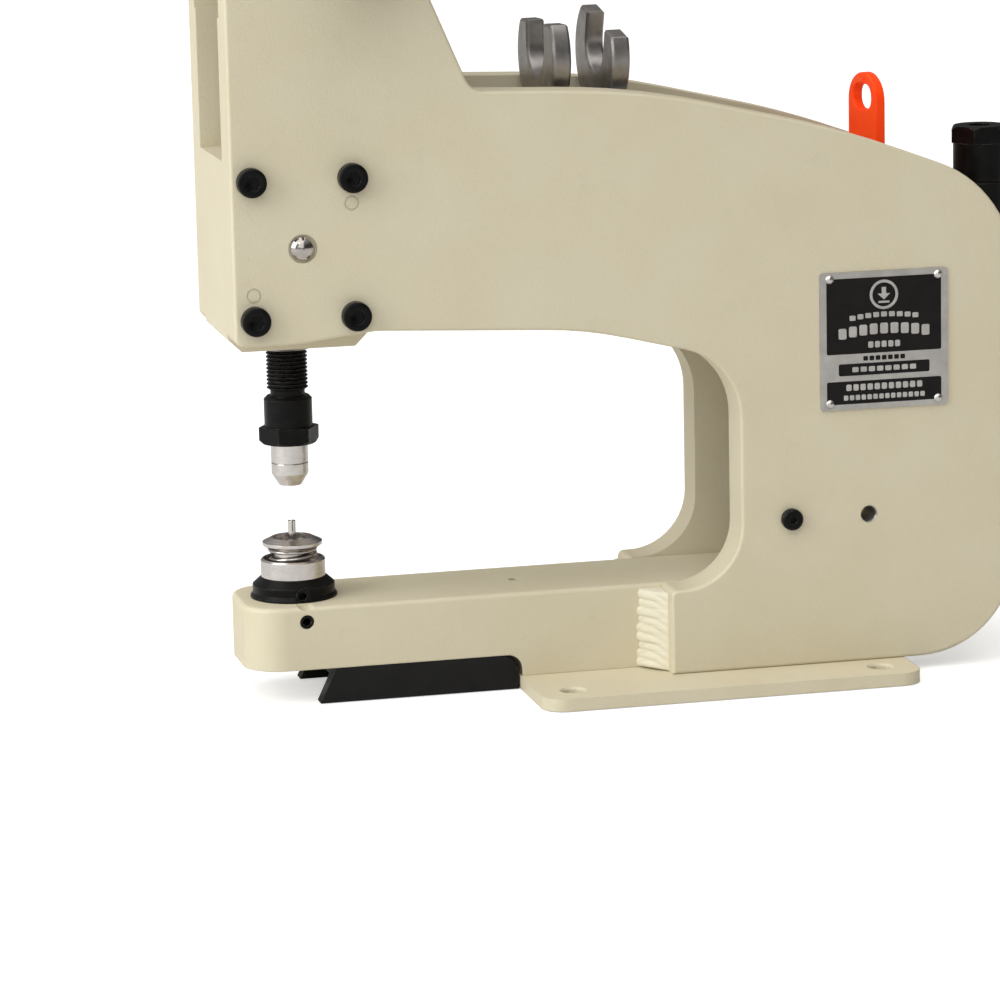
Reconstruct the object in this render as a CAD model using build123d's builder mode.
from build123d import *
import math
import os

os.makedirs("parts", exist_ok=True)

# Bench press with two thick side plates, a rack-and-pinion ram and sprung setting dies.
# X runs back from the operator's side, Y runs across from the near side to the far side, and Z is up.
# The origin is the centre of the base plate's bolt pattern, on the surface that the press stands on.
# Every size is in millimetres.

# ---------------------------------------------------------------- driving dimensions: frame
plate_thickness = 17.0
plate_gap = 50.0
plate_edge_radius = 1.2
throat_depth = 170.0
throat_behind_base_centre = 9.8
ram_setback = 26.8
column_lip = 28.6
column_depth = 112.2
base_thickness = 5.0
arm_top_z = 38.3
throat_height = 105.2
block_drop = 4.3
block_height = 73.1
block_depth = 54.3
block_chamfer = 5.2
block_bore_clearance = 1.0
shoulder_z = 188.5
tower_top_z = 350.0
tower_depth = 72.5
relief_z = 266.0
relief_depth = 3.0

# ---------------------------------------------------------------- driving dimensions: base, arm and foot
base_length = 152.0
base_width = 136.0
base_corner_radius = 9.0
base_hole_spacing_x = 124.0
base_hole_spacing_y = 108.0
base_hole_diameter = 9.0
base_hole_chamfer = 0.8
arm_nose_ahead = 22.6
arm_nose_bottom_z = 13.7
arm_nose_radius = 15.0
arm_edge_radius = 1.8
arm_heel_ahead = 84.8
arm_heel_radius = 6.0
arm_tail = 18.0
arm_hole_behind_ram = 88.7
arm_hole_diameter = 5.0
arm_hole_depth = 16.0
weld_on_arm = 9.0
weld_on_plate = 6.0
foot_wall = 7.0
foot_web = 3.5
foot_front_behind_ram = 4.8
foot_front_rake = 6.6
foot_end_gap = 1.5
foot_corner_radius = 7.5
foot_screw_inset = 16.0
foot_screw_thread = 5.0
foot_screw_head = 9.0
foot_screw_head_height = 3.0
foot_screw_grip = 8.0

# ---------------------------------------------------------------- driving dimensions: head, ram and lever
ram_diameter = 20.0
ram_bottom_z = 135.9
ram_top_z = 342.0
small_edge = 0.8
ram_travel = 19.5
bush_wall = 3.0
bush_length = 24.0
head_screw_x = (7.7, 46.2)
head_screw_z = (153.5, 205.8)
head_screw_head = 11.2
head_screw_head_height = 5.0
head_screw_thread = 8.0
head_screw_grip = 12.0
head_screw_socket = 5.0
dowel_places = ((7.4, 163.1), (45.8, 196.2))
dowel_diameter = 5.0
guide_pin_z = 179.8
guide_pin_diameter = 8.0
guide_pin_head = 9.0
guide_pin_seat = 10.8
guide_pin_seat_depth = 1.2
guide_pin_dome = 2.2
guide_pin_tip_gap = 0.6
keyway_width = 6.2
keyway_depth = 3.5
spring_collar_diameter = 34.0
spring_collar_height = 9.0
spring_collar_z = 262.5
return_spring_wire = 3.0
return_spring_mean = 29.0
return_spring_turns = 7.0
spring_end_gap = 0.1
collar_screw_diameter = 5.0
collar_screw_socket = 2.5
shaft_diameter = 16.0
shaft_z = 300.0
shaft_bush_wall = 3.0
shaft_bush_flange = 28.0
shaft_bush_flange_thickness = 2.0
gear_module = 1.5
pinion_teeth = 20
pinion_width = 18.0
pressure_angle = 20.0
tooth_backlash = 0.3
rack_pitch_offset = 7.0
rack_bottom_z = 283.5
rack_cut_margin = 3.0
shaft_collar_diameter = 25.0
shaft_collar_width = 8.0
hub_diameter = 34.0
hub_length = 42.0
hub_rod_inset = 13.0
hub_shaft_depth = 17.0
hub_edge = 1.5
rod_screw_diameter = 6.0
cap_screw_thread = 6.0
cap_screw_grip = 14.0
cap_screw_head = 10.0
cap_screw_head_height = 5.0
cap_screw_socket = 5.0
shaft_washer_diameter = 24.0
shaft_washer_thickness = 3.0
lever_rest_angle = 50.0
rod_diameter = 14.0
rod_tail = 24.0
rod_length = 236.0
grip_diameter = 27.0
grip_length = 118.0
grip_overhang = 6.0
grip_end_radius = 5.0
top_spacer_places = ((9.5, 326.0), (60.0, 336.0))
top_spacer_diameter = 12.0

# ---------------------------------------------------------------- driving dimensions: dies
# A share is a diameter as a part of the cup's own diameter.
stud_diameter = 16.0
stud_pitch = 1.5
stud_root_depth = 0.92
stud_in_ram = 22.0
adapter_neck_diameter = 13.4
adapter_neck_z = 120.0
adapter_body_diameter = 18.7
adapter_body_z = 117.5
adapter_hex_z = 105.4
adapter_bottom_z = 98.9
adapter_hex_flats = 20.4
hexagon_bevel = 1.4
body_bevel = 1.2
upper_die_diameter = 14.4
upper_die_taper_z = 86.9
upper_die_tip_z = 82.4
upper_die_tip_diameter = 8.8
upper_die_bore = 5.2
upper_die_bore_depth = 14.0
upper_die_score_z = 91.0
upper_die_score = 0.25
upper_die_shank = 9.0
upper_die_shank_length = 12.0
collar_diameter = 33.9
collar_waist_diameter = 32.0
collar_top_diameter = 25.4
collar_lip = 0.8
collar_lip_z = 40.3
collar_shoulder_z = 43.4
collar_top_z = 46.4
cup_diameter = 25.2
cup_bore_share = 0.897
cup_lip = 0.6
cup_top_z = 53.4
cup_floor_z = 48.4
cup_stem_diameter = 15.0
cup_stem_depth = 18.0
anvil_share = 0.437
anvil_top_z = 57.0
anvil_edge = 0.6
anvil_seat_step = 2.2
anvil_stem = 12.0
setting_pin_diameter = 3.0
setting_pin_top_z = 68.0
setting_pin_hollow = 1.6
setting_pin_hollow_depth = 4.0
setting_pin_split = 0.5
sleeve_rim_share = 0.925
sleeve_rim_z = 60.0
sleeve_top_z = 61.7
sleeve_bottom_z = 57.6
sleeve_opening_share = 0.575
sleeve_lower_share = 0.81
sleeve_rim_height = 1.2
sleeve_lip = 0.9
sleeve_skirt = 4.6
sleeve_mouth_depth = 3.0
sleeve_guide_clearance = 0.1
die_spring_wire = 1.5
die_spring_share = 0.698
die_spring_turns = 3.0
set_screw_diameter = 5.6
set_screw_x_offset = 0.4
set_screw_socket = 3.0
collar_notch_diameter = 8.4
collar_screw_size = 5.4
arm_screw_recess = 0.8
collar_screw_z = 41.2
arm_screw_z = 32.6

# ---------------------------------------------------------------- driving dimensions: fittings and tools
nameplate_width = 52.0
nameplate_height = 54.0
nameplate_thickness = 0.8
nameplate_behind_throat = 58.0
nameplate_z = 132.6
nameplate_corner = 1.5
rivet_inset_x = 4.0
rivet_inset_z = 2.6
rivet_head = 3.6
rivet_dome = 1.1
rivet_shank = 1.8
rivet_grip = 4.0
spacer_place = (20.0, 63.8)
tapped_place = (51.8, 63.6)
tapped_diameter = 6.8
spacer_diameter = 11.0
spacer_screw_head = 8.4
spacer_screw_head_height = 3.0
spacer_thread = 5.0
spacer_screw_grip = 10.0
spacer_screw_socket = 3.0
spanner_flats = 20.8
spanner_head_radius = 23.0
spanner_centre_z = 244.5
spanner_thickness = 7.4
spanner_handle_width = 20.0
spanner_bottom_z = 158.0
spanner_turn = 4.0
spanner_x = (131.6, 154.8)
spanner_tilt = (0.0, 15.0)
spanner_slot_width = 25.0
spanner_jaw_height = 13.0
spanner_slot_floor = -6.8
spanner_edge = 0.8
shelf_thickness = 4.0
shelf_margin = 18.0
shelf_gap = 0.05
tool_clearance = 0.8
key_behind_throat = 65.2
key_turn = 12.0
key_handle_width = 22.0
key_handle_thickness = 4.4
key_handle_top_z = 232.3
key_handle_bottom_z = 188.6
key_opening_width = 13.5
key_opening_height = 10.0
key_opening_inset = 9.6
key_opening_corner = 4.5
key_edge_radius = 0.8
key_boss_wall = 1.5
key_boss_height = 12.0
key_shank_diameter = 6.0
key_shank_bottom_z = 122.0
key_shelf_top_z = 188.0
key_shelf_length = 36.0
post_front_inset = 30.0
post_overhang = 18.0
post_top_z = 165.0
post_height = 19.0
post_corner_radius = 8.0
post_edge = 1.0
spare_body_diameter = 21.2
spare_top_z = 209.4
spare_hex_height = 6.8
spare_groove_z = 187.5
spare_groove_depth = 0.6
spare_stud_length = 18.0

# ---------------------------------------------------------------- clearances
running_clearance = 0.05
thread_clearance = 0.1
axial_clearance = 0.3

# ---------------------------------------------------------------- places worked out from the sizes above
throat_x = throat_behind_base_centre
ram_x = throat_x - throat_depth
front_x = ram_x - ram_setback
column_front_x = throat_x - column_lip
rear_x = throat_x + column_depth
inner_y = plate_gap / 2
outer_y = inner_y + plate_thickness
relieved_y = inner_y + relief_depth
head_bottom_z = arm_top_z + throat_height
block_bottom_z = head_bottom_z - block_drop
block_top_z = block_bottom_z + block_height
pinion_pitch_radius = gear_module * pinion_teeth / 2
shaft_x = ram_x + rack_pitch_offset + pinion_pitch_radius
circular_pitch = math.pi * gear_module
tooth_addendum = gear_module
tooth_dedendum = 1.25 * gear_module
arm_front_x = ram_x - arm_nose_ahead
arm_heel_x = throat_x - arm_heel_ahead
foot_front_x = ram_x + foot_front_behind_ram
foot_rear_x = arm_heel_x - foot_end_gap
foot_screw_places = (
    (foot_front_x + foot_front_rake + foot_screw_inset, 0),
    (foot_rear_x - foot_screw_inset, 0),
)
cup_bore = cup_bore_share * cup_diameter
anvil_diameter = anvil_share * cup_diameter
sleeve_rim_diameter = sleeve_rim_share * cup_diameter
sleeve_lower_diameter = sleeve_lower_share * cup_diameter
sleeve_opening = sleeve_opening_share * cup_diameter
die_spring_mean = die_spring_share * cup_diameter
near, far = -1, 1


def from_front(place):
    """A place on a side plate, given as its distance behind the front edge and its height."""
    return (front_x + place[0], place[1])


def from_throat(place):
    """A place on a side plate, given as its distance behind the throat and its height."""
    return (throat_x + place[0], place[1])


def across(y):
    """The plane across Y at y, with X to the right and Z up; an extrusion runs towards -Y."""
    return Plane.XZ.offset(-y)


def save(piece, name):
    """Label one finished piece and write its STEP file."""
    piece.part.label = name
    export_step(piece.part, f"parts/{name}.step")


def turned(profile, x, y=0.0):
    """A solid turned about the upright axis at x, y from (radius, height) points."""
    with BuildPart(mode=Mode.PRIVATE) as solid:
        with BuildSketch(Plane(origin=(x, y, 0), x_dir=(1, 0, 0), z_dir=(0, -1, 0))):
            with BuildLine():
                Polyline(*profile, close=True)
            make_face()
        revolve(axis=Axis((x, y, 0), (0, 0, 1)))
    return solid.part


def turned_across(profile, x, z):
    """A solid turned about the axis along Y at x, z from (radius, y) points."""
    with BuildPart(mode=Mode.PRIVATE) as solid:
        with BuildSketch(Plane.XY.offset(z)):
            with BuildLine():
                Polyline(*[(x + radius, y) for radius, y in profile], close=True)
            make_face()
        revolve(axis=Axis((x, 0, z), (0, 1, 0)))
    return solid.part


def dome(radius, height, steps=6):
    """(radius, rise) points of a round dome, from its rim to its top."""
    sphere = (radius**2 + height**2) / (2 * height)
    rim_angle = math.asin(radius / sphere)
    angles = [rim_angle * (1 - step / steps) for step in range(steps)]
    points = [(sphere * math.sin(a), sphere * math.cos(a) - sphere + height) for a in angles]
    return points + [(0, height)]


def bored(place, diameter, y_from, y_to):
    """A round rod along Y between two Y values, used to cut a hole."""
    low, high = sorted((y_from, y_to))
    return turned_across([(0, low), (diameter / 2, low), (diameter / 2, high), (0, high)], *place)


def socket_screw(place, face_y, side, head, head_height, thread, length, socket):
    """A socket-head screw along Y: its head stands on face_y towards side, its thread runs inwards."""
    x, z = place
    top = face_y + side * head_height
    rim = 0.6
    profile = [(0, face_y - side * length), (thread / 2, face_y - side * length), (thread / 2, face_y)]
    profile += [(head / 2, face_y), (head / 2, top - side * rim), (head / 2 - rim, top), (0, top)]
    with BuildPart(mode=Mode.PRIVATE) as screw:
        add(turned_across(profile, x, z))
        with BuildSketch(across(top)) as hexagon:
            with Locations((x, z)):
                RegularPolygon(socket / 2, 6, major_radius=False)
        extrude(hexagon.sketch, amount=side * head_height * 0.55, mode=Mode.SUBTRACT)
    return screw.part


def grub_screw(x, z, face_y, length, diameter, socket):
    """A headless socket screw along Y whose socket faces the near side."""
    inner = face_y + length
    with BuildPart(mode=Mode.PRIVATE) as screw:
        add(bored((x, z), diameter, face_y, inner))
        with BuildSketch(across(face_y)) as hexagon:
            with Locations((x, z)):
                RegularPolygon(socket / 2, 6, major_radius=False)
        extrude(hexagon.sketch, amount=-length * 0.5, mode=Mode.SUBTRACT)
    return screw.part


# ---------------------------------------------------------------- side plates
plate_corners = (
    (front_x, head_bottom_z, 3.5),
    (front_x + 24.0, head_bottom_z, 60.0),
    (front_x + 54.0, head_bottom_z + 3.5, 40.0),
    (throat_x - 61.0, head_bottom_z - 0.8, 155.0),
    (throat_x, head_bottom_z - 16.1, 29.0),
    (throat_x, arm_top_z, 24.0),
    (column_front_x, arm_top_z, 2.5),
    (column_front_x, base_thickness, 0.0),
    (rear_x, base_thickness, 39.0),
    (rear_x, shoulder_z, 48.0),
    (rear_x - 67.6, shoulder_z + 25.7, 370.0),
    (rear_x - 149.7, shoulder_z + 45.0, 300.0),
    (front_x + tower_depth + 20.5, shoulder_z + 47.4, 8.0),
    (front_x + tower_depth, shoulder_z + 95.9, 30.0),
    (front_x + tower_depth, tower_top_z, 26.0),
    (front_x, tower_top_z, 26.0),
)
head_screw_places = [from_front((x, z)) for z in head_screw_z for x in head_screw_x]
shaft_bush_diameter = shaft_diameter + 2 * shaft_bush_wall


def side_plate(side):
    """One side plate: its outline, the relieved inner face of its tower and its holes."""
    face_y = side * outer_y
    upper_y = max(side * inner_y, face_y)
    with BuildPart() as plate:
        with BuildSketch(across(upper_y)) as outline:
            with BuildLine():
                corners = [(x, z) for x, z, _ in plate_corners]
                FilletPolyline(*corners, radius=[r for _, _, r in plate_corners], close=True)
            make_face()
        extrude(outline.sketch, amount=plate_thickness)
        rim = plate.faces().sort_by(Axis.Y)[0 if side == near else -1].edges()
        fillet(rim, plate_edge_radius)
        with BuildSketch(across(max(side * inner_y, side * relieved_y))) as relief:
            with Locations((front_x + tower_depth, relief_z)):
                Rectangle(3 * tower_depth, tower_top_z, align=(Align.CENTER, Align.MIN))
        extrude(relief.sketch, amount=relief_depth, mode=Mode.SUBTRACT)
        for place in head_screw_places:
            add(bored(place, head_screw_thread, side * inner_y, face_y), mode=Mode.SUBTRACT)
        for place in dowel_places:
            add(bored(from_front(place), dowel_diameter, side * inner_y, face_y), mode=Mode.SUBTRACT)
        for place in top_spacer_places:
            add(bored(from_front(place), spacer_thread, side * inner_y, face_y), mode=Mode.SUBTRACT)
        add(bored(from_throat(spacer_place), spacer_thread, side * inner_y, face_y), mode=Mode.SUBTRACT)
        add(bored((shaft_x, shaft_z), shaft_bush_diameter, side * inner_y, face_y), mode=Mode.SUBTRACT)
        if side == near:
            seat_y = face_y + guide_pin_seat_depth
            add(bored((ram_x, guide_pin_z), guide_pin_diameter, -inner_y, face_y), mode=Mode.SUBTRACT)
            add(bored((ram_x, guide_pin_z), guide_pin_seat, seat_y, face_y), mode=Mode.SUBTRACT)
            add(bored(from_throat(tapped_place), tapped_diameter, -inner_y, face_y), mode=Mode.SUBTRACT)
            for x, z in rivet_places:
                add(bored((x, z), rivet_shank, face_y, face_y + rivet_grip), mode=Mode.SUBTRACT)
    return plate


rivet_places = [
    (
        throat_x + nameplate_behind_throat + i * (nameplate_width / 2 - rivet_inset_x),
        nameplate_z + k * (nameplate_height / 2 - rivet_inset_z),
    )
    for i in (-1, 1)
    for k in (-1, 1)
]
side_plate_near = side_plate(near)
save(side_plate_near, "side_plate_near")
side_plate_far = side_plate(far)
save(side_plate_far, "side_plate_far")

# ---------------------------------------------------------------- base plate
with BuildPart() as base_plate:
    with BuildSketch():
        RectangleRounded(base_length, base_width, base_corner_radius)
        with GridLocations(base_hole_spacing_x, base_hole_spacing_y, 2, 2):
            Circle(base_hole_diameter / 2, mode=Mode.SUBTRACT)
    extrude(amount=base_thickness)
    hole_rims = base_plate.faces().sort_by(Axis.Z)[-1].inner_wires().edges()
    chamfer(hole_rims, base_hole_chamfer)
save(base_plate, "base_plate")

# ---------------------------------------------------------------- lower arm
cup_socket_depth = cup_stem_depth + 1.0
with BuildPart() as lower_arm:
    with BuildSketch(across(inner_y)) as arm_side:
        with BuildLine():
            FilletPolyline(
                (arm_front_x, arm_nose_bottom_z),
                (arm_heel_x, arm_nose_bottom_z),
                (arm_heel_x, base_thickness),
                (throat_x + arm_tail, base_thickness),
                (throat_x + arm_tail, arm_top_z),
                (arm_front_x, arm_top_z),
                radius=[0, arm_heel_radius, 0, 0, 0, 0],
                close=True,
            )
        make_face()
    extrude(arm_side.sketch, amount=plate_gap)
    nose = lower_arm.edges().filter_by(Axis.Z).group_by(Axis.X)[0]
    fillet(nose, arm_nose_radius)
    top_rim = lower_arm.faces().sort_by(Axis.Z)[-1].edges().filter_by_position(
        Axis.X, arm_front_x - 1, throat_x + arm_tail - 1
    )
    fillet(top_rim, arm_edge_radius)
    for x, diameter, depth in (
        (ram_x, cup_stem_diameter, cup_socket_depth),
        (ram_x + arm_hole_behind_ram, arm_hole_diameter, arm_hole_depth),
    ):
        with BuildSketch(Plane.XY.offset(arm_top_z)) as hole:
            with Locations((x, 0)):
                Circle(diameter / 2)
        extrude(hole.sketch, amount=-depth, mode=Mode.SUBTRACT)
    with BuildSketch(Plane.XY.offset(arm_nose_bottom_z)) as foot_holes:
        with Locations(*foot_screw_places):
            Circle(foot_screw_thread / 2)
    extrude(foot_holes.sketch, amount=foot_screw_grip + 1, mode=Mode.SUBTRACT)
    tool_screw_place = (ram_x + set_screw_x_offset, collar_screw_z)
    notch_inner_y = -collar_diameter / 2
    add(bored(tool_screw_place, collar_notch_diameter, -inner_y, notch_inner_y), mode=Mode.SUBTRACT)
    arm_screw_place = (ram_x + set_screw_x_offset, arm_screw_z)
    add(bored(arm_screw_place, set_screw_diameter, -inner_y, 0), mode=Mode.SUBTRACT)
save(lower_arm, "lower_arm")

# ---------------------------------------------------------------- welds between the arm and the side plates


def arm_weld(side):
    """One bead down the corner between the arm's side face and a side plate's front edge."""
    arm_y = side * inner_y
    with BuildPart() as weld:
        with BuildSketch(Plane.XY.offset(base_thickness)):
            with BuildLine():
                toe = (column_front_x - weld_on_arm, arm_y)
                crown = (column_front_x - weld_on_arm * 0.42, arm_y + side * weld_on_plate * 0.62)
                shoulder = (column_front_x, arm_y + side * weld_on_plate)
                ThreePointArc(toe, crown, shoulder)
                Polyline(shoulder, (column_front_x, arm_y), toe)
            make_face()
        extrude(amount=arm_top_z - base_thickness - arm_edge_radius)
    return weld


weld_near = arm_weld(near)
save(weld_near, "weld_near")
weld_far = arm_weld(far)
save(weld_far, "weld_far")

# ---------------------------------------------------------------- support foot under the arm
with BuildPart() as support_foot:
    with BuildSketch(across(inner_y)) as foot_side:
        with BuildLine():
            FilletPolyline(
                (foot_front_x, 0),
                (foot_rear_x, 0),
                (foot_rear_x, arm_nose_bottom_z),
                (foot_front_x + foot_front_rake, arm_nose_bottom_z),
                radius=[0, 0, foot_corner_radius, 0],
                close=True,
            )
        make_face()
    extrude(foot_side.sketch, amount=plate_gap)
    with BuildSketch() as channel:
        with Locations((foot_front_x, 0)):
            Rectangle(3 * (foot_rear_x - foot_front_x), plate_gap - 2 * foot_wall)
    extrude(channel.sketch, amount=arm_nose_bottom_z - foot_web, mode=Mode.SUBTRACT)
    with BuildSketch(Plane.XY.offset(arm_nose_bottom_z)) as screw_holes:
        with Locations(*foot_screw_places):
            Circle(foot_screw_thread / 2)
    extrude(screw_holes.sketch, amount=-foot_web, mode=Mode.SUBTRACT)
save(support_foot, "support_foot")

# Two low screws hold the foot's web up against the arm.
foot_web_z = arm_nose_bottom_z - foot_web
with BuildPart() as foot_screws:
    for x, y in foot_screw_places:
        radius = foot_screw_thread / 2 - thread_clearance
        head = foot_screw_head / 2
        head_z = foot_web_z - foot_screw_head_height
        tip_z = arm_nose_bottom_z + foot_screw_grip
        profile = [(0, head_z), (head - small_edge, head_z), (head, head_z + small_edge)]
        profile += [(head, foot_web_z), (radius, foot_web_z), (radius, tip_z), (0, tip_z)]
        add(turned(profile, x, y))
save(foot_screws, "foot_screws")

# ---------------------------------------------------------------- head block with its two bushes
bush_diameter = ram_diameter + 2 * bush_wall
ram_bore_diameter = ram_diameter + 2 * running_clearance
with BuildPart() as head_block:
    with BuildSketch(across(inner_y)) as block_side:
        with BuildLine():
            Polyline(
                (front_x + block_chamfer, block_bottom_z),
                (front_x + block_depth - block_chamfer, block_bottom_z),
                (front_x + block_depth, block_bottom_z + block_chamfer),
                (front_x + block_depth, block_top_z),
                (front_x, block_top_z),
                (front_x, block_bottom_z + block_chamfer),
                close=True,
            )
        make_face()
    extrude(block_side.sketch, amount=plate_gap)
    with BuildSketch(Plane.XY.offset(block_bottom_z)) as bore:
        with Locations((ram_x, 0)):
            Circle(ram_diameter / 2 + block_bore_clearance)
    extrude(bore.sketch, amount=block_height, mode=Mode.SUBTRACT)
    with BuildSketch(Plane.XY.offset(block_bottom_z)) as bush_seat:
        with Locations((ram_x, 0)):
            Circle(bush_diameter / 2)
    extrude(bush_seat.sketch, amount=bush_length, mode=Mode.SUBTRACT)
    with BuildSketch(Plane.XY.offset(block_top_z)) as upper_seat:
        with Locations((ram_x, 0)):
            Circle(bush_diameter / 2)
    extrude(upper_seat.sketch, amount=-bush_length, mode=Mode.SUBTRACT)
    for side in (near, far):
        for place in head_screw_places:
            inner = side * (inner_y - head_screw_grip - 1)
            add(bored(place, head_screw_thread, inner, side * inner_y), mode=Mode.SUBTRACT)
    for place in dowel_places:
        add(bored(from_front(place), dowel_diameter, -inner_y, inner_y), mode=Mode.SUBTRACT)
    add(bored((ram_x, guide_pin_z), guide_pin_diameter, -inner_y, 0), mode=Mode.SUBTRACT)
save(head_block, "head_block")

for name, low_z in (("bush_lower", block_bottom_z), ("bush_upper", block_top_z - bush_length)):
    with BuildPart() as bush:
        high_z = low_z + bush_length
        bore_radius = ram_bore_diameter / 2
        ring = [(bore_radius, low_z), (bush_diameter / 2, low_z)]
        ring += [(bush_diameter / 2, high_z), (bore_radius, high_z)]
        add(turned(ring, ram_x))
    save(bush, name)

# ---------------------------------------------------------------- head fasteners
for name, side in (("head_screws_near", near), ("head_screws_far", far)):
    with BuildPart() as head_screws:
        for place in head_screw_places:
            add(
                socket_screw(
                    place,
                    side * outer_y,
                    side,
                    head_screw_head,
                    head_screw_head_height,
                    head_screw_thread - 2 * thread_clearance,
                    plate_thickness + head_screw_grip,
                    head_screw_socket,
                )
            )
    save(head_screws, name)

with BuildPart() as dowel_pins:
    for place in dowel_places:
        add(bored(from_front(place), dowel_diameter, -outer_y, outer_y))
save(dowel_pins, "dowel_pins")

# A domed pin on the ram's centre line: its tip runs in the ram's keyway and keeps the ram from turning.
with BuildPart() as guide_pin:
    seat_y = -outer_y + guide_pin_seat_depth
    tip_y = -ram_diameter / 2 + keyway_depth - guide_pin_tip_gap
    tip_radius = keyway_width / 2 - thread_clearance
    step_y = -ram_diameter / 2 - block_bore_clearance / 2
    rim = guide_pin_head / 2
    profile = [(0, tip_y), (tip_radius, tip_y), (tip_radius, step_y), (guide_pin_diameter / 2, step_y)]
    profile += [(guide_pin_diameter / 2, seat_y), (rim, seat_y)]
    profile += [(r, -outer_y - h) for r, h in dome(rim, guide_pin_dome)]
    add(turned_across(profile, ram_x, guide_pin_z))
save(guide_pin, "guide_pin")

# ---------------------------------------------------------------- ram with its rack, keyway and stud hole
rack_tip_x = ram_x + rack_pitch_offset + tooth_addendum
rack_root_x = ram_x + rack_pitch_offset - tooth_dedendum
rack_gaps = range(-3, 9)


def rack_gap(index):
    """The outline of the space between two rack teeth, counted upwards from the shaft's height."""
    middle = shaft_z + index * circular_pitch
    slope = math.tan(math.radians(pressure_angle))
    pitch_half = circular_pitch / 4 + tooth_backlash / 2
    root_half = pitch_half - tooth_dedendum * slope
    open_x = rack_tip_x + rack_cut_margin
    open_half = pitch_half + (tooth_addendum + rack_cut_margin) * slope
    return [
        (rack_root_x, middle - root_half),
        (open_x, middle - open_half),
        (open_x, middle + open_half),
        (rack_root_x, middle + root_half),
    ]


with BuildPart() as ram:
    edge = small_edge
    radius = ram_diameter / 2
    rod_profile = [(0, ram_bottom_z), (radius - edge, ram_bottom_z), (radius, ram_bottom_z + edge)]
    rod_profile += [(radius, ram_top_z - edge), (radius - edge, ram_top_z), (0, ram_top_z)]
    add(turned(rod_profile, ram_x))
    with BuildSketch(across(ram_diameter)) as flat:
        with Locations((rack_tip_x, rack_bottom_z)):
            Rectangle(ram_diameter, 2 * ram_top_z, align=(Align.MIN, Align.MIN))
    extrude(flat.sketch, amount=2 * ram_diameter, mode=Mode.SUBTRACT)
    for index in rack_gaps:
        with BuildSketch(across(ram_diameter)) as gap:
            with BuildLine():
                Polyline(*rack_gap(index), close=True)
            make_face()
        extrude(gap.sketch, amount=2 * ram_diameter, mode=Mode.SUBTRACT)
    with BuildSketch(across(-radius + keyway_depth)) as keyway:
        with Locations((ram_x, guide_pin_z + ram_travel / 2)):
            SlotOverall(ram_travel + keyway_width + 2 * tool_clearance, keyway_width, rotation=90)
    extrude(keyway.sketch, amount=keyway_depth + 1, mode=Mode.SUBTRACT)
    with BuildSketch(Plane.XY.offset(ram_bottom_z)) as stud_hole:
        with Locations((ram_x, 0)):
            Circle(stud_diameter / 2 + thread_clearance)
    extrude(stud_hole.sketch, amount=stud_in_ram + 2, mode=Mode.SUBTRACT)
save(ram, "ram")

# ---------------------------------------------------------------- upper tooling


def thread_profile(low_z, high_z):
    """(radius, height) points of an outside thread, as rings at the thread's own pitch."""
    crest = stud_diameter / 2
    root = crest - stud_root_depth
    turns = int((high_z - low_z) / stud_pitch)
    points = []
    for turn in range(turns):
        z = low_z + turn * stud_pitch
        points += [(root, z), (crest, z + stud_pitch * 0.42), (crest, z + stud_pitch * 0.58)]
    return points + [(root, low_z + turns * stud_pitch), (root, high_z)]


def hexagon_nut(x, low_z, high_z, bevelled_up):
    """A hexagon across flats with its corners bevelled on its free end."""
    corner_radius = adapter_hex_flats / math.sqrt(3)
    cut = corner_radius * 0.12
    bevel = hexagon_bevel
    with BuildPart(mode=Mode.PRIVATE) as nut:
        with BuildSketch(Plane.XY.offset(low_z)) as outline:
            with Locations((x, 0)):
                RegularPolygon(adapter_hex_flats / 2, 6, major_radius=False)
        extrude(outline.sketch, amount=high_z - low_z)
        if bevelled_up:
            cone = [(0, low_z), (corner_radius + 1, low_z), (corner_radius + 1, high_z - bevel)]
            cone += [(corner_radius, high_z - bevel), (corner_radius - cut, high_z), (0, high_z)]
        else:
            cone = [(0, low_z), (corner_radius - cut, low_z), (corner_radius, low_z + bevel)]
            cone += [(corner_radius + 1, low_z + bevel), (corner_radius + 1, high_z), (0, high_z)]
        add(turned(cone, x), mode=Mode.INTERSECT)
    return nut.part


with BuildPart() as die_adapter:
    body = adapter_body_diameter / 2
    neck = adapter_neck_diameter / 2
    stud_top_z = ram_bottom_z + stud_in_ram
    profile = [(0, adapter_bottom_z), (body, adapter_bottom_z), (body, adapter_body_z - body_bevel)]
    profile += [(body - body_bevel, adapter_body_z), (neck, adapter_body_z), (neck, adapter_neck_z)]
    profile += thread_profile(adapter_neck_z, stud_top_z) + [(0, stud_top_z)]
    add(turned(profile, ram_x))
    add(hexagon_nut(ram_x, adapter_bottom_z, adapter_hex_z, bevelled_up=False))
    with BuildSketch(Plane.XY.offset(adapter_bottom_z)) as shank_hole:
        with Locations((ram_x, 0)):
            Circle(upper_die_shank / 2)
    extrude(shank_hole.sketch, amount=upper_die_shank_length, mode=Mode.SUBTRACT)
save(die_adapter, "die_adapter")

with BuildPart() as upper_die:
    die = upper_die_diameter / 2
    shank = upper_die_shank / 2
    shank_top_z = adapter_bottom_z + upper_die_shank_length
    bore_top_z = upper_die_tip_z + upper_die_bore_depth
    bore = upper_die_bore / 2
    score = upper_die_score
    profile = [(bore, upper_die_tip_z), (upper_die_tip_diameter / 2, upper_die_tip_z)]
    profile += [(die, upper_die_taper_z)]
    profile += [(die, upper_die_score_z), (die - score, upper_die_score_z + score)]
    profile += [(die, upper_die_score_z + 2 * score), (die, adapter_bottom_z), (shank, adapter_bottom_z)]
    profile += [(shank, shank_top_z), (0, shank_top_z), (0, bore_top_z), (bore, bore_top_z)]
    add(turned(profile, ram_x))
save(upper_die, "upper_die")

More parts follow.
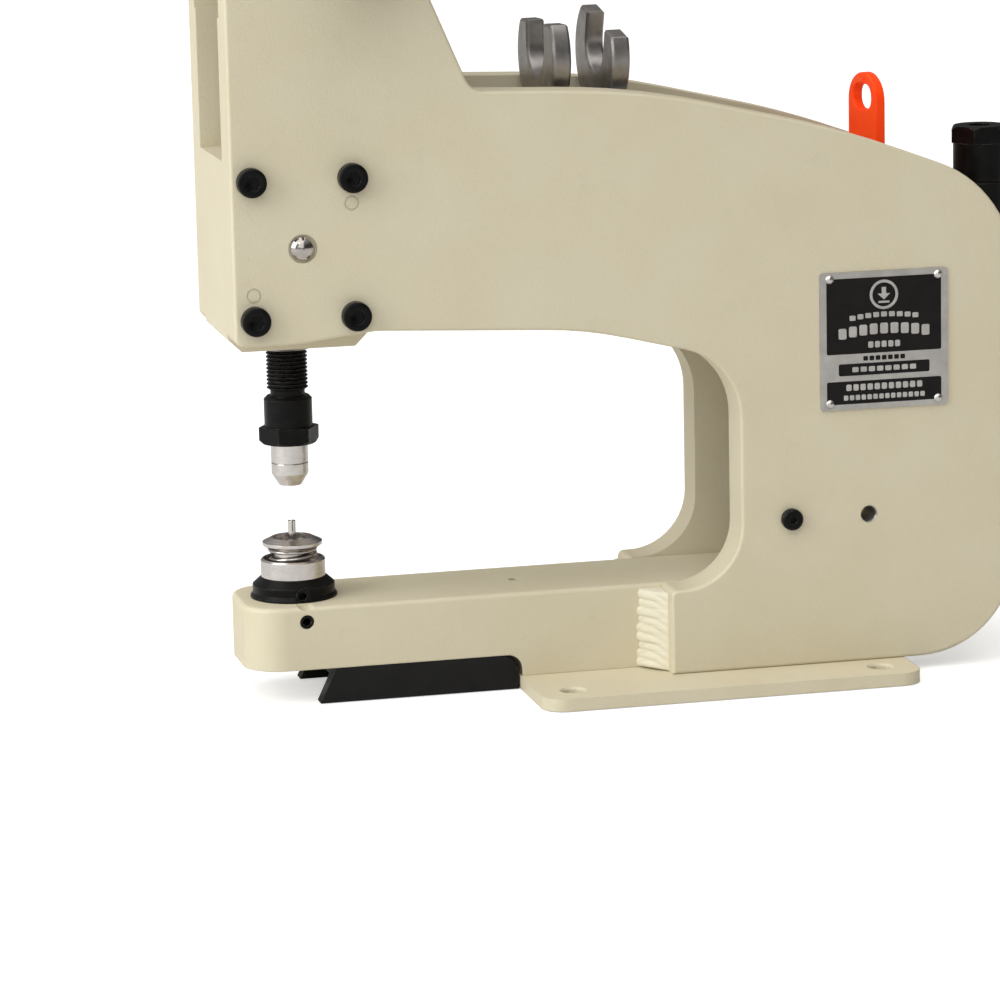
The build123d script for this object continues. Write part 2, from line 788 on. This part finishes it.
# ---------------------------------------------------------------- return spring and its collar on the ram


def coil(x, low_z, high_z, mean_diameter, wire, turns):
    """A round-wire coil spring between two seats."""
    height = high_z - low_z - wire - 2 * spring_end_gap
    start_z = low_z + wire / 2 + spring_end_gap
    with BuildPart(mode=Mode.PRIVATE) as spring:
        with BuildLine():
            path = Helix(height / turns, height, mean_diameter / 2, center=(x, 0, start_z))
        with BuildSketch(Plane(origin=path @ 0, z_dir=path % 0)):
            Circle(wire / 2)
        sweep(path=path, is_frenet=True)
    return spring.part


with BuildPart() as spring_collar:
    outer = spring_collar_diameter / 2
    inner = ram_diameter / 2
    top_z = spring_collar_z + spring_collar_height
    edge = small_edge
    profile = [(inner, spring_collar_z), (outer - edge, spring_collar_z), (outer, spring_collar_z + edge)]
    profile += [(outer, top_z - edge), (outer - edge, top_z), (inner, top_z)]
    add(turned(profile, ram_x))
    collar_screw_place = (ram_x, spring_collar_z + spring_collar_height / 2)
    add(bored(collar_screw_place, collar_screw_diameter, -outer, 0), mode=Mode.SUBTRACT)
save(spring_collar, "spring_collar")

with BuildPart() as spring_collar_screw:
    add(grub_screw(*collar_screw_place, -outer, outer - inner, collar_screw_diameter, collar_screw_socket))
save(spring_collar_screw, "spring_collar_screw")

with BuildPart() as return_spring:
    add(
        coil(
            ram_x,
            block_top_z,
            spring_collar_z,
            return_spring_mean,
            return_spring_wire,
            return_spring_turns,
        )
    )
save(return_spring, "return_spring")

# ---------------------------------------------------------------- pinion, shaft, bushes and collars
flange_y = outer_y + shaft_bush_flange_thickness
hub_inner_y = -(flange_y + axial_clearance)
hub_outer_y = hub_inner_y - hub_length
shaft_near_y = hub_inner_y - hub_shaft_depth
shaft_far_y = flange_y + axial_clearance
shaft_place = (shaft_x, shaft_z)

for name, side in (("shaft_bush_near", near), ("shaft_bush_far", far)):
    with BuildPart() as shaft_bush:
        bore_radius = shaft_diameter / 2 + running_clearance
        wall_radius = shaft_bush_diameter / 2
        flange_radius = shaft_bush_flange / 2
        profile = [(bore_radius, side * relieved_y), (wall_radius, side * relieved_y)]
        profile += [(wall_radius, side * outer_y), (flange_radius, side * outer_y)]
        profile += [(flange_radius, side * flange_y), (bore_radius, side * flange_y)]
        add(turned_across(profile, *shaft_place))
    save(shaft_bush, name)

with BuildPart() as pinion_shaft:
    add(bored(shaft_place, shaft_diameter, shaft_near_y, shaft_far_y))
    add(bored(shaft_place, cap_screw_thread, shaft_far_y - cap_screw_grip, shaft_far_y), mode=Mode.SUBTRACT)
save(pinion_shaft, "pinion_shaft")


def tooth_flank(steps=5):
    """(radius, half angle) points up one involute flank of a pinion tooth."""
    base = pinion_pitch_radius * math.cos(math.radians(pressure_angle))
    half_at_pitch = (circular_pitch / 2 - tooth_backlash) / 2 / pinion_pitch_radius
    involute_at_pitch = math.tan(math.radians(pressure_angle)) - math.radians(pressure_angle)
    tip = pinion_pitch_radius + tooth_addendum
    points = []
    for step in range(steps + 1):
        radius = base + (tip - base) * step / steps
        angle = math.acos(min(1.0, base / radius))
        points.append((radius, half_at_pitch + involute_at_pitch - math.tan(angle) + angle))
    return [(pinion_pitch_radius - tooth_dedendum, points[0][1])] + points


def polar(radius, angle):
    """A point at a radius and angle about the pinion's axis, in the X-Z plane."""
    return (shaft_x + radius * math.cos(angle), shaft_z + radius * math.sin(angle))


with BuildPart() as pinion:
    flank = tooth_flank()
    outline = []
    for tooth in range(pinion_teeth):
        middle = 2 * math.pi * tooth / pinion_teeth
        outline += [polar(radius, middle - half) for radius, half in flank]
        outline += [polar(radius, middle + half) for radius, half in reversed(flank)]
    with BuildSketch(across(pinion_width / 2)) as gear:
        with BuildLine():
            Polyline(*outline, close=True)
        make_face()
        with Locations(shaft_place):
            Circle(shaft_diameter / 2, mode=Mode.SUBTRACT)
    extrude(gear.sketch, amount=pinion_width)
save(pinion, "pinion")

with BuildPart() as shaft_collars:
    for side in (near, far):
        outer = side * (relieved_y - axial_clearance)
        inner = outer - side * shaft_collar_width
        radius = shaft_collar_diameter / 2
        edge = small_edge
        profile = [(shaft_diameter / 2, inner), (radius - edge, inner), (radius, inner + side * edge)]
        profile += [(radius, outer - side * edge), (radius - edge, outer), (shaft_diameter / 2, outer)]
        add(turned_across(profile, *shaft_place))
save(shaft_collars, "shaft_collars")

# A washer and a screw close the shaft's far end.
with BuildPart() as shaft_washer:
    edge = small_edge
    radius = shaft_washer_diameter / 2
    washer_y = shaft_far_y + shaft_washer_thickness
    hole = cap_screw_thread / 2
    profile = [(hole, shaft_far_y), (radius, shaft_far_y), (radius, washer_y - edge)]
    profile += [(radius - edge, washer_y), (hole, washer_y)]
    add(turned_across(profile, *shaft_place))
save(shaft_washer, "shaft_washer")

with BuildPart() as shaft_screw:
    length = shaft_washer_thickness + cap_screw_grip - 1
    thread = cap_screw_thread - 2 * thread_clearance
    head_sizes = (cap_screw_head, cap_screw_head_height, thread, length, cap_screw_socket)
    add(socket_screw(shaft_place, washer_y, far, *head_sizes))
save(shaft_screw, "shaft_screw")

# ---------------------------------------------------------------- lever
rod_y = hub_outer_y + hub_rod_inset
rest = math.radians(lever_rest_angle)
rod_direction = (-math.cos(rest), 0, math.sin(rest))


def along_rod(distance):
    """The plane square to the lever's rod, at a distance from the hub's axis."""
    origin = (shaft_x + distance * rod_direction[0], rod_y, shaft_z + distance * rod_direction[2])
    return Plane(origin=origin, x_dir=(0, 1, 0), z_dir=rod_direction)


with BuildPart() as lever_hub:
    edge = hub_edge
    radius = hub_diameter / 2
    profile = [(0, hub_inner_y), (radius - edge, hub_inner_y), (radius, hub_inner_y - edge)]
    profile += [(radius, hub_outer_y + edge), (radius - edge, hub_outer_y), (0, hub_outer_y)]
    add(turned_across(profile, *shaft_place))
    add(bored(shaft_place, shaft_diameter, hub_inner_y, shaft_near_y), mode=Mode.SUBTRACT)
    add(bored(shaft_place, rod_screw_diameter, rod_y, hub_outer_y), mode=Mode.SUBTRACT)
    with BuildSketch(along_rod(-hub_diameter)) as rod_hole:
        Circle(rod_diameter / 2)
    extrude(rod_hole.sketch, amount=2 * hub_diameter, mode=Mode.SUBTRACT)
save(lever_hub, "lever_hub")

with BuildPart() as lever_rod:
    with BuildSketch(along_rod(-rod_tail)):
        Circle(rod_diameter / 2)
    extrude(amount=rod_tail + rod_length)
    chamfer(lever_rod.edges().filter_by(GeomType.CIRCLE), small_edge)
save(lever_rod, "lever_rod")

with BuildPart() as lever_grip:
    grip_start = rod_length + grip_overhang - grip_length
    with BuildSketch(along_rod(grip_start)):
        Circle(grip_diameter / 2)
    extrude(amount=grip_length)
    ends = lever_grip.edges().filter_by(GeomType.CIRCLE)
    fillet(ends, grip_end_radius)
    with BuildSketch(along_rod(grip_start)) as grip_hole:
        Circle(rod_diameter / 2)
    extrude(grip_hole.sketch, amount=grip_length - grip_overhang, mode=Mode.SUBTRACT)
save(lever_grip, "lever_grip")

# The end screw clamps the rod in the hub.
with BuildPart() as rod_screw:
    screw_depth = hub_rod_inset - rod_diameter / 2
    head_sizes = (cap_screw_head, cap_screw_head_height, rod_screw_diameter, screw_depth, cap_screw_socket)
    add(socket_screw(shaft_place, hub_outer_y, near, *head_sizes))
save(rod_screw, "rod_screw")

# ---------------------------------------------------------------- lower tooling on the arm
with BuildPart() as tool_collar:
    profile = [(cup_stem_diameter / 2, arm_top_z), (collar_diameter / 2, arm_top_z)]
    profile += [(collar_diameter / 2, arm_top_z + collar_lip), (collar_waist_diameter / 2, collar_lip_z)]
    profile += [(collar_waist_diameter / 2, collar_shoulder_z), (collar_top_diameter / 2, collar_top_z)]
    profile += [(cup_stem_diameter / 2, collar_top_z)]
    add(turned(profile, ram_x))
    add(bored(tool_screw_place, set_screw_diameter, -collar_diameter, 0), mode=Mode.SUBTRACT)
save(tool_collar, "tool_collar")

with BuildPart() as collar_set_screw:
    length = collar_diameter / 2 - cup_stem_diameter / 2
    add(grub_screw(*tool_screw_place, -collar_diameter / 2, length, collar_screw_size, set_screw_socket))
save(collar_set_screw, "collar_set_screw")

with BuildPart() as arm_set_screw:
    length = inner_y - arm_screw_recess - cup_stem_diameter / 2
    thread = set_screw_diameter - 2 * thread_clearance
    add(grub_screw(*arm_screw_place, -inner_y + arm_screw_recess, length, thread, set_screw_socket))
save(arm_set_screw, "arm_set_screw")

with BuildPart() as die_cup:
    stem_bottom_z = arm_top_z - cup_stem_depth
    stem = cup_stem_diameter / 2
    anvil_seat = anvil_diameter / 2 - anvil_seat_step
    profile = [(anvil_seat, stem_bottom_z), (stem, stem_bottom_z), (stem, collar_top_z)]
    profile += [(cup_diameter / 2, collar_top_z), (cup_diameter / 2, cup_top_z - cup_lip)]
    profile += [(cup_diameter / 2 - cup_lip, cup_top_z), (cup_bore / 2, cup_top_z)]
    profile += [(cup_bore / 2, cup_floor_z), (anvil_seat, cup_floor_z)]
    add(turned(profile, ram_x))
save(die_cup, "die_cup")

with BuildPart() as anvil:
    body = anvil_diameter / 2
    seat = anvil_seat - running_clearance
    profile = [(setting_pin_diameter / 2, cup_floor_z - anvil_stem), (seat, cup_floor_z - anvil_stem)]
    profile += [(seat, cup_floor_z), (body, cup_floor_z), (body, anvil_top_z - anvil_edge)]
    profile += [(body - anvil_edge, anvil_top_z), (setting_pin_diameter / 2, anvil_top_z)]
    add(turned(profile, ram_x))
save(anvil, "anvil")

with BuildPart() as setting_pin:
    radius = setting_pin_diameter / 2
    hollow = setting_pin_hollow / 2
    pin_bottom_z = cup_floor_z - anvil_stem
    hollow_z = setting_pin_top_z - setting_pin_hollow_depth
    profile = [(0, pin_bottom_z), (radius, pin_bottom_z), (radius, setting_pin_top_z)]
    profile += [(hollow, setting_pin_top_z), (hollow, hollow_z), (0, hollow_z)]
    add(turned(profile, ram_x))
    with BuildSketch(Plane.XY.offset(setting_pin_top_z)) as split_slot:
        with Locations((ram_x, 0)):
            Rectangle(setting_pin_split, 2 * setting_pin_diameter)
    extrude(split_slot.sketch, amount=-setting_pin_hollow_depth, mode=Mode.SUBTRACT)
save(setting_pin, "setting_pin")

# The sprung sleeve: a rim with a sloping top, a shoulder for the spring and a skirt round the anvil.
with BuildPart() as die_sleeve:
    guide = anvil_diameter / 2 + sleeve_guide_clearance
    skirt = sleeve_opening / 2
    rim = sleeve_rim_diameter / 2
    lower = sleeve_lower_diameter / 2
    shoulder_top_z = sleeve_top_z - sleeve_mouth_depth
    profile = [(guide, sleeve_bottom_z - sleeve_skirt), (skirt, sleeve_bottom_z - sleeve_skirt)]
    profile += [(skirt, sleeve_bottom_z), (lower, sleeve_bottom_z), (rim, sleeve_rim_z - sleeve_rim_height)]
    profile += [(rim, sleeve_rim_z), (skirt + sleeve_lip, sleeve_top_z)]
    profile += [(skirt, sleeve_top_z), (skirt, shoulder_top_z), (guide, shoulder_top_z)]
    add(turned(profile, ram_x))
save(die_sleeve, "die_sleeve")

with BuildPart() as die_spring:
    add(coil(ram_x, cup_floor_z, sleeve_bottom_z, die_spring_mean, die_spring_wire, die_spring_turns))
save(die_spring, "die_spring")

# ---------------------------------------------------------------- nameplate and its rivets
with BuildPart() as nameplate:
    with BuildSketch(across(-outer_y)) as blank:
        with Locations((throat_x + nameplate_behind_throat, nameplate_z)):
            RectangleRounded(nameplate_width, nameplate_height, nameplate_corner)
        with Locations(*rivet_places):
            Circle(rivet_shank / 2, mode=Mode.SUBTRACT)
    extrude(blank.sketch, amount=nameplate_thickness)
save(nameplate, "nameplate")

with BuildPart() as nameplate_rivets:
    head_y = -outer_y - nameplate_thickness
    for x, z in rivet_places:
        profile = [(0, -outer_y + rivet_grip), (rivet_shank / 2, -outer_y + rivet_grip)]
        profile += [(rivet_shank / 2, head_y)]
        profile += [(r, head_y - h) for r, h in dome(rivet_head / 2, rivet_dome)]
        add(turned_across(profile, x, z))
save(nameplate_rivets, "nameplate_rivets")

# ---------------------------------------------------------------- spacer bars between the plates
with BuildPart() as rear_spacer:
    place = from_throat(spacer_place)
    add(bored(place, spacer_diameter, -inner_y, inner_y))
    for side in (near, far):
        inner = side * (inner_y - spacer_screw_grip - 1)
        add(bored(place, spacer_thread, inner, side * inner_y), mode=Mode.SUBTRACT)
save(rear_spacer, "rear_spacer")

with BuildPart() as rear_spacer_screws:
    thread = spacer_thread - 2 * thread_clearance
    for side in (near, far):
        length = plate_thickness + spacer_screw_grip
        sizes = (spacer_screw_head, spacer_screw_head_height, thread, length, spacer_screw_socket)
        add(socket_screw(from_throat(spacer_place), side * outer_y, side, *sizes))
save(rear_spacer_screws, "rear_spacer_screws")

with BuildPart() as top_spacers:
    for spot in top_spacer_places:
        add(bored(from_front(spot), top_spacer_diameter, -relieved_y, relieved_y))
        for side in (near, far):
            inner = side * (relieved_y - spacer_screw_grip - 1)
            add(bored(from_front(spot), spacer_thread, inner, side * relieved_y), mode=Mode.SUBTRACT)
save(top_spacers, "top_spacers")

with BuildPart() as top_spacer_screws:
    for spot in top_spacer_places:
        for side in (near, far):
            length = plate_thickness - relief_depth + spacer_screw_grip
            sizes = (spacer_screw_head, spacer_screw_head_height, thread, length, spacer_screw_socket)
            add(socket_screw(from_front(spot), side * outer_y, side, *sizes))
save(top_spacer_screws, "top_spacer_screws")

# ---------------------------------------------------------------- spanners standing in their shelf
spanner_half_slot = spanner_slot_width / 2
shelf_top_z = spanner_centre_z - math.sqrt(spanner_head_radius**2 - spanner_half_slot**2) - shelf_gap
shelf_front_x = front_x + spanner_x[0] - shelf_margin
shelf_rear_x = front_x + spanner_x[1] + shelf_margin


def spanner_plane(x, z):
    """The upright plane that a spanner stands in; its own X runs towards the far side."""
    turn = math.radians(spanner_turn)
    return Plane(
        origin=(front_x + x, 0, z),
        x_dir=(-math.sin(turn), math.cos(turn), 0),
        z_dir=(math.cos(turn), math.sin(turn), 0),
    )


def spanner(x, tilt):
    """An open-ended spanner with its jaws up, its slot tilted towards the near side."""
    half = spanner_thickness / 2
    slot_end = spanner_flats / 2
    with BuildPart() as tool:
        with BuildSketch(spanner_plane(x, spanner_centre_z).offset(-half)) as blank:
            Circle(spanner_head_radius)
            handle_length = spanner_centre_z - spanner_bottom_z
            with Locations((0, -handle_length)):
                RectangleRounded(
                    spanner_handle_width,
                    handle_length,
                    spanner_handle_width * 0.3,
                    align=(Align.CENTER, Align.MIN),
                )
            with Locations(Location((0, 0), tilt)):
                above = (Align.CENTER, Align.MIN)
                reach = 2 * spanner_head_radius
                with Locations((0, spanner_jaw_height)):
                    Rectangle(reach, reach, align=above, mode=Mode.SUBTRACT)
                with Locations((0, spanner_slot_floor + slot_end)):
                    Rectangle(spanner_flats, reach, align=above, mode=Mode.SUBTRACT)
                    Circle(slot_end, mode=Mode.SUBTRACT)
        extrude(blank.sketch, amount=spanner_thickness)
        faces = tool.faces().filter_by(spanner_plane(x, spanner_centre_z))
        chamfer(faces.edges(), spanner_edge)
    return tool


spanner_straight = spanner(spanner_x[0], spanner_tilt[0])
save(spanner_straight, "spanner_straight")
spanner_angled = spanner(spanner_x[1], spanner_tilt[1])
save(spanner_angled, "spanner_angled")

with BuildPart() as spanner_shelf:
    with BuildSketch(Plane.XY.offset(shelf_top_z - shelf_thickness)):
        with Locations(((shelf_front_x + shelf_rear_x) / 2, 0)):
            Rectangle(shelf_rear_x - shelf_front_x, plate_gap)
        for x in spanner_x:
            with Locations(Location((front_x + x, 0), spanner_turn)):
                Rectangle(spanner_thickness + 2 * tool_clearance, spanner_slot_width, mode=Mode.SUBTRACT)
    extrude(amount=shelf_thickness)
save(spanner_shelf, "spanner_shelf")

# ---------------------------------------------------------------- key with a moulded handle, in its shelf
key_centre_x = throat_x + key_behind_throat


def key_plane(z):
    """The upright plane that the key's flat handle stands in."""
    turn = math.radians(key_turn)
    return Plane(
        origin=(key_centre_x, 0, z),
        x_dir=(-math.sin(turn), math.cos(turn), 0),
        z_dir=(math.cos(turn), math.sin(turn), 0),
    )


with BuildPart() as key_handle:
    handle_height = key_handle_top_z - key_handle_bottom_z
    half_width = key_handle_width / 2
    with BuildSketch(key_plane(key_handle_bottom_z).offset(-key_handle_thickness / 2)) as tab:
        with Locations((0, handle_height - half_width)):
            Circle(half_width)
        Rectangle(key_handle_width, handle_height - half_width, align=(Align.CENTER, Align.MIN))
        with Locations((0, handle_height - key_opening_inset)):
            RectangleRounded(
                key_opening_width,
                key_opening_height,
                key_opening_corner,
                mode=Mode.SUBTRACT,
            )
    extrude(tab.sketch, amount=key_handle_thickness)
    fillet(key_handle.faces().filter_by(key_plane(0)).edges(), key_edge_radius)
    with BuildSketch(Plane.XY.offset(key_handle_bottom_z)) as socket:
        with Locations((key_centre_x, 0)):
            Circle(key_shank_diameter / 2 + key_boss_wall)
    extrude(socket.sketch, amount=key_boss_height)
    with BuildSketch(Plane.XY.offset(key_handle_bottom_z)) as shank_seat:
        with Locations((key_centre_x, 0)):
            Circle(key_shank_diameter / 2)
    extrude(shank_seat.sketch, amount=key_boss_height - 1, mode=Mode.SUBTRACT)
save(key_handle, "key_handle")

with BuildPart() as key_shank:
    radius = key_shank_diameter / 2
    top_z = key_handle_bottom_z + key_boss_height - 1
    profile = [(0, key_shank_bottom_z), (radius - 1, key_shank_bottom_z), (radius, key_shank_bottom_z + 3)]
    profile += [(radius, top_z), (0, top_z)]
    add(turned(profile, key_centre_x))
save(key_shank, "key_shank")

with BuildPart() as key_shelf:
    with BuildSketch(Plane.XY.offset(key_shelf_top_z - shelf_thickness)):
        with Locations((key_centre_x, 0)):
            Rectangle(key_shelf_length, plate_gap)
            Circle(key_shank_diameter / 2 + tool_clearance / 2, mode=Mode.SUBTRACT)
    extrude(amount=shelf_thickness)
save(key_shelf, "key_shelf")

# ---------------------------------------------------------------- rear tool post with the spare adapter
with BuildPart() as tool_post:
    post_length = post_front_inset + post_overhang
    with BuildSketch(Plane.XY.offset(post_top_z - post_height)):
        with Locations((rear_x - post_front_inset, 0)):
            Rectangle(post_length, plate_gap, align=(Align.MIN, Align.CENTER))
        with Locations((rear_x, 0)):
            Circle(stud_diameter / 2 + tool_clearance / 2, mode=Mode.SUBTRACT)
    extrude(amount=post_height)
    rear_corners = tool_post.edges().filter_by(Axis.Z).group_by(Axis.X)[-1]
    fillet(rear_corners, post_corner_radius)
    chamfer(tool_post.faces().sort_by(Axis.Z)[-1].outer_wire().edges().sort_by(Axis.X)[-3:], post_edge)
save(tool_post, "tool_post")

with BuildPart() as spare_adapter:
    body = spare_body_diameter / 2
    hex_bottom_z = spare_top_z - spare_hex_height
    groove = spare_groove_depth
    stud_bottom_z = post_top_z - spare_stud_length
    crest = stud_diameter / 2
    seat_z = post_top_z + axial_clearance
    profile = [(0, stud_bottom_z), (crest - small_edge, stud_bottom_z)]
    profile += [(crest, stud_bottom_z + small_edge), (crest, seat_z)]
    profile += [(body - body_bevel, seat_z), (body, seat_z + body_bevel)]
    profile += [(body, spare_groove_z - groove), (body - groove, spare_groove_z)]
    profile += [(body, spare_groove_z + groove), (body, hex_bottom_z), (0, hex_bottom_z)]
    add(turned(profile, rear_x))
    add(hexagon_nut(rear_x, hex_bottom_z, spare_top_z, bevelled_up=True))
    with BuildSketch(Plane.XY.offset(spare_top_z)) as spare_bore:
        with Locations((rear_x, 0)):
            Circle(upper_die_shank / 2)
    extrude(spare_bore.sketch, amount=-upper_die_shank_length, mode=Mode.SUBTRACT)
save(spare_adapter, "spare_adapter")
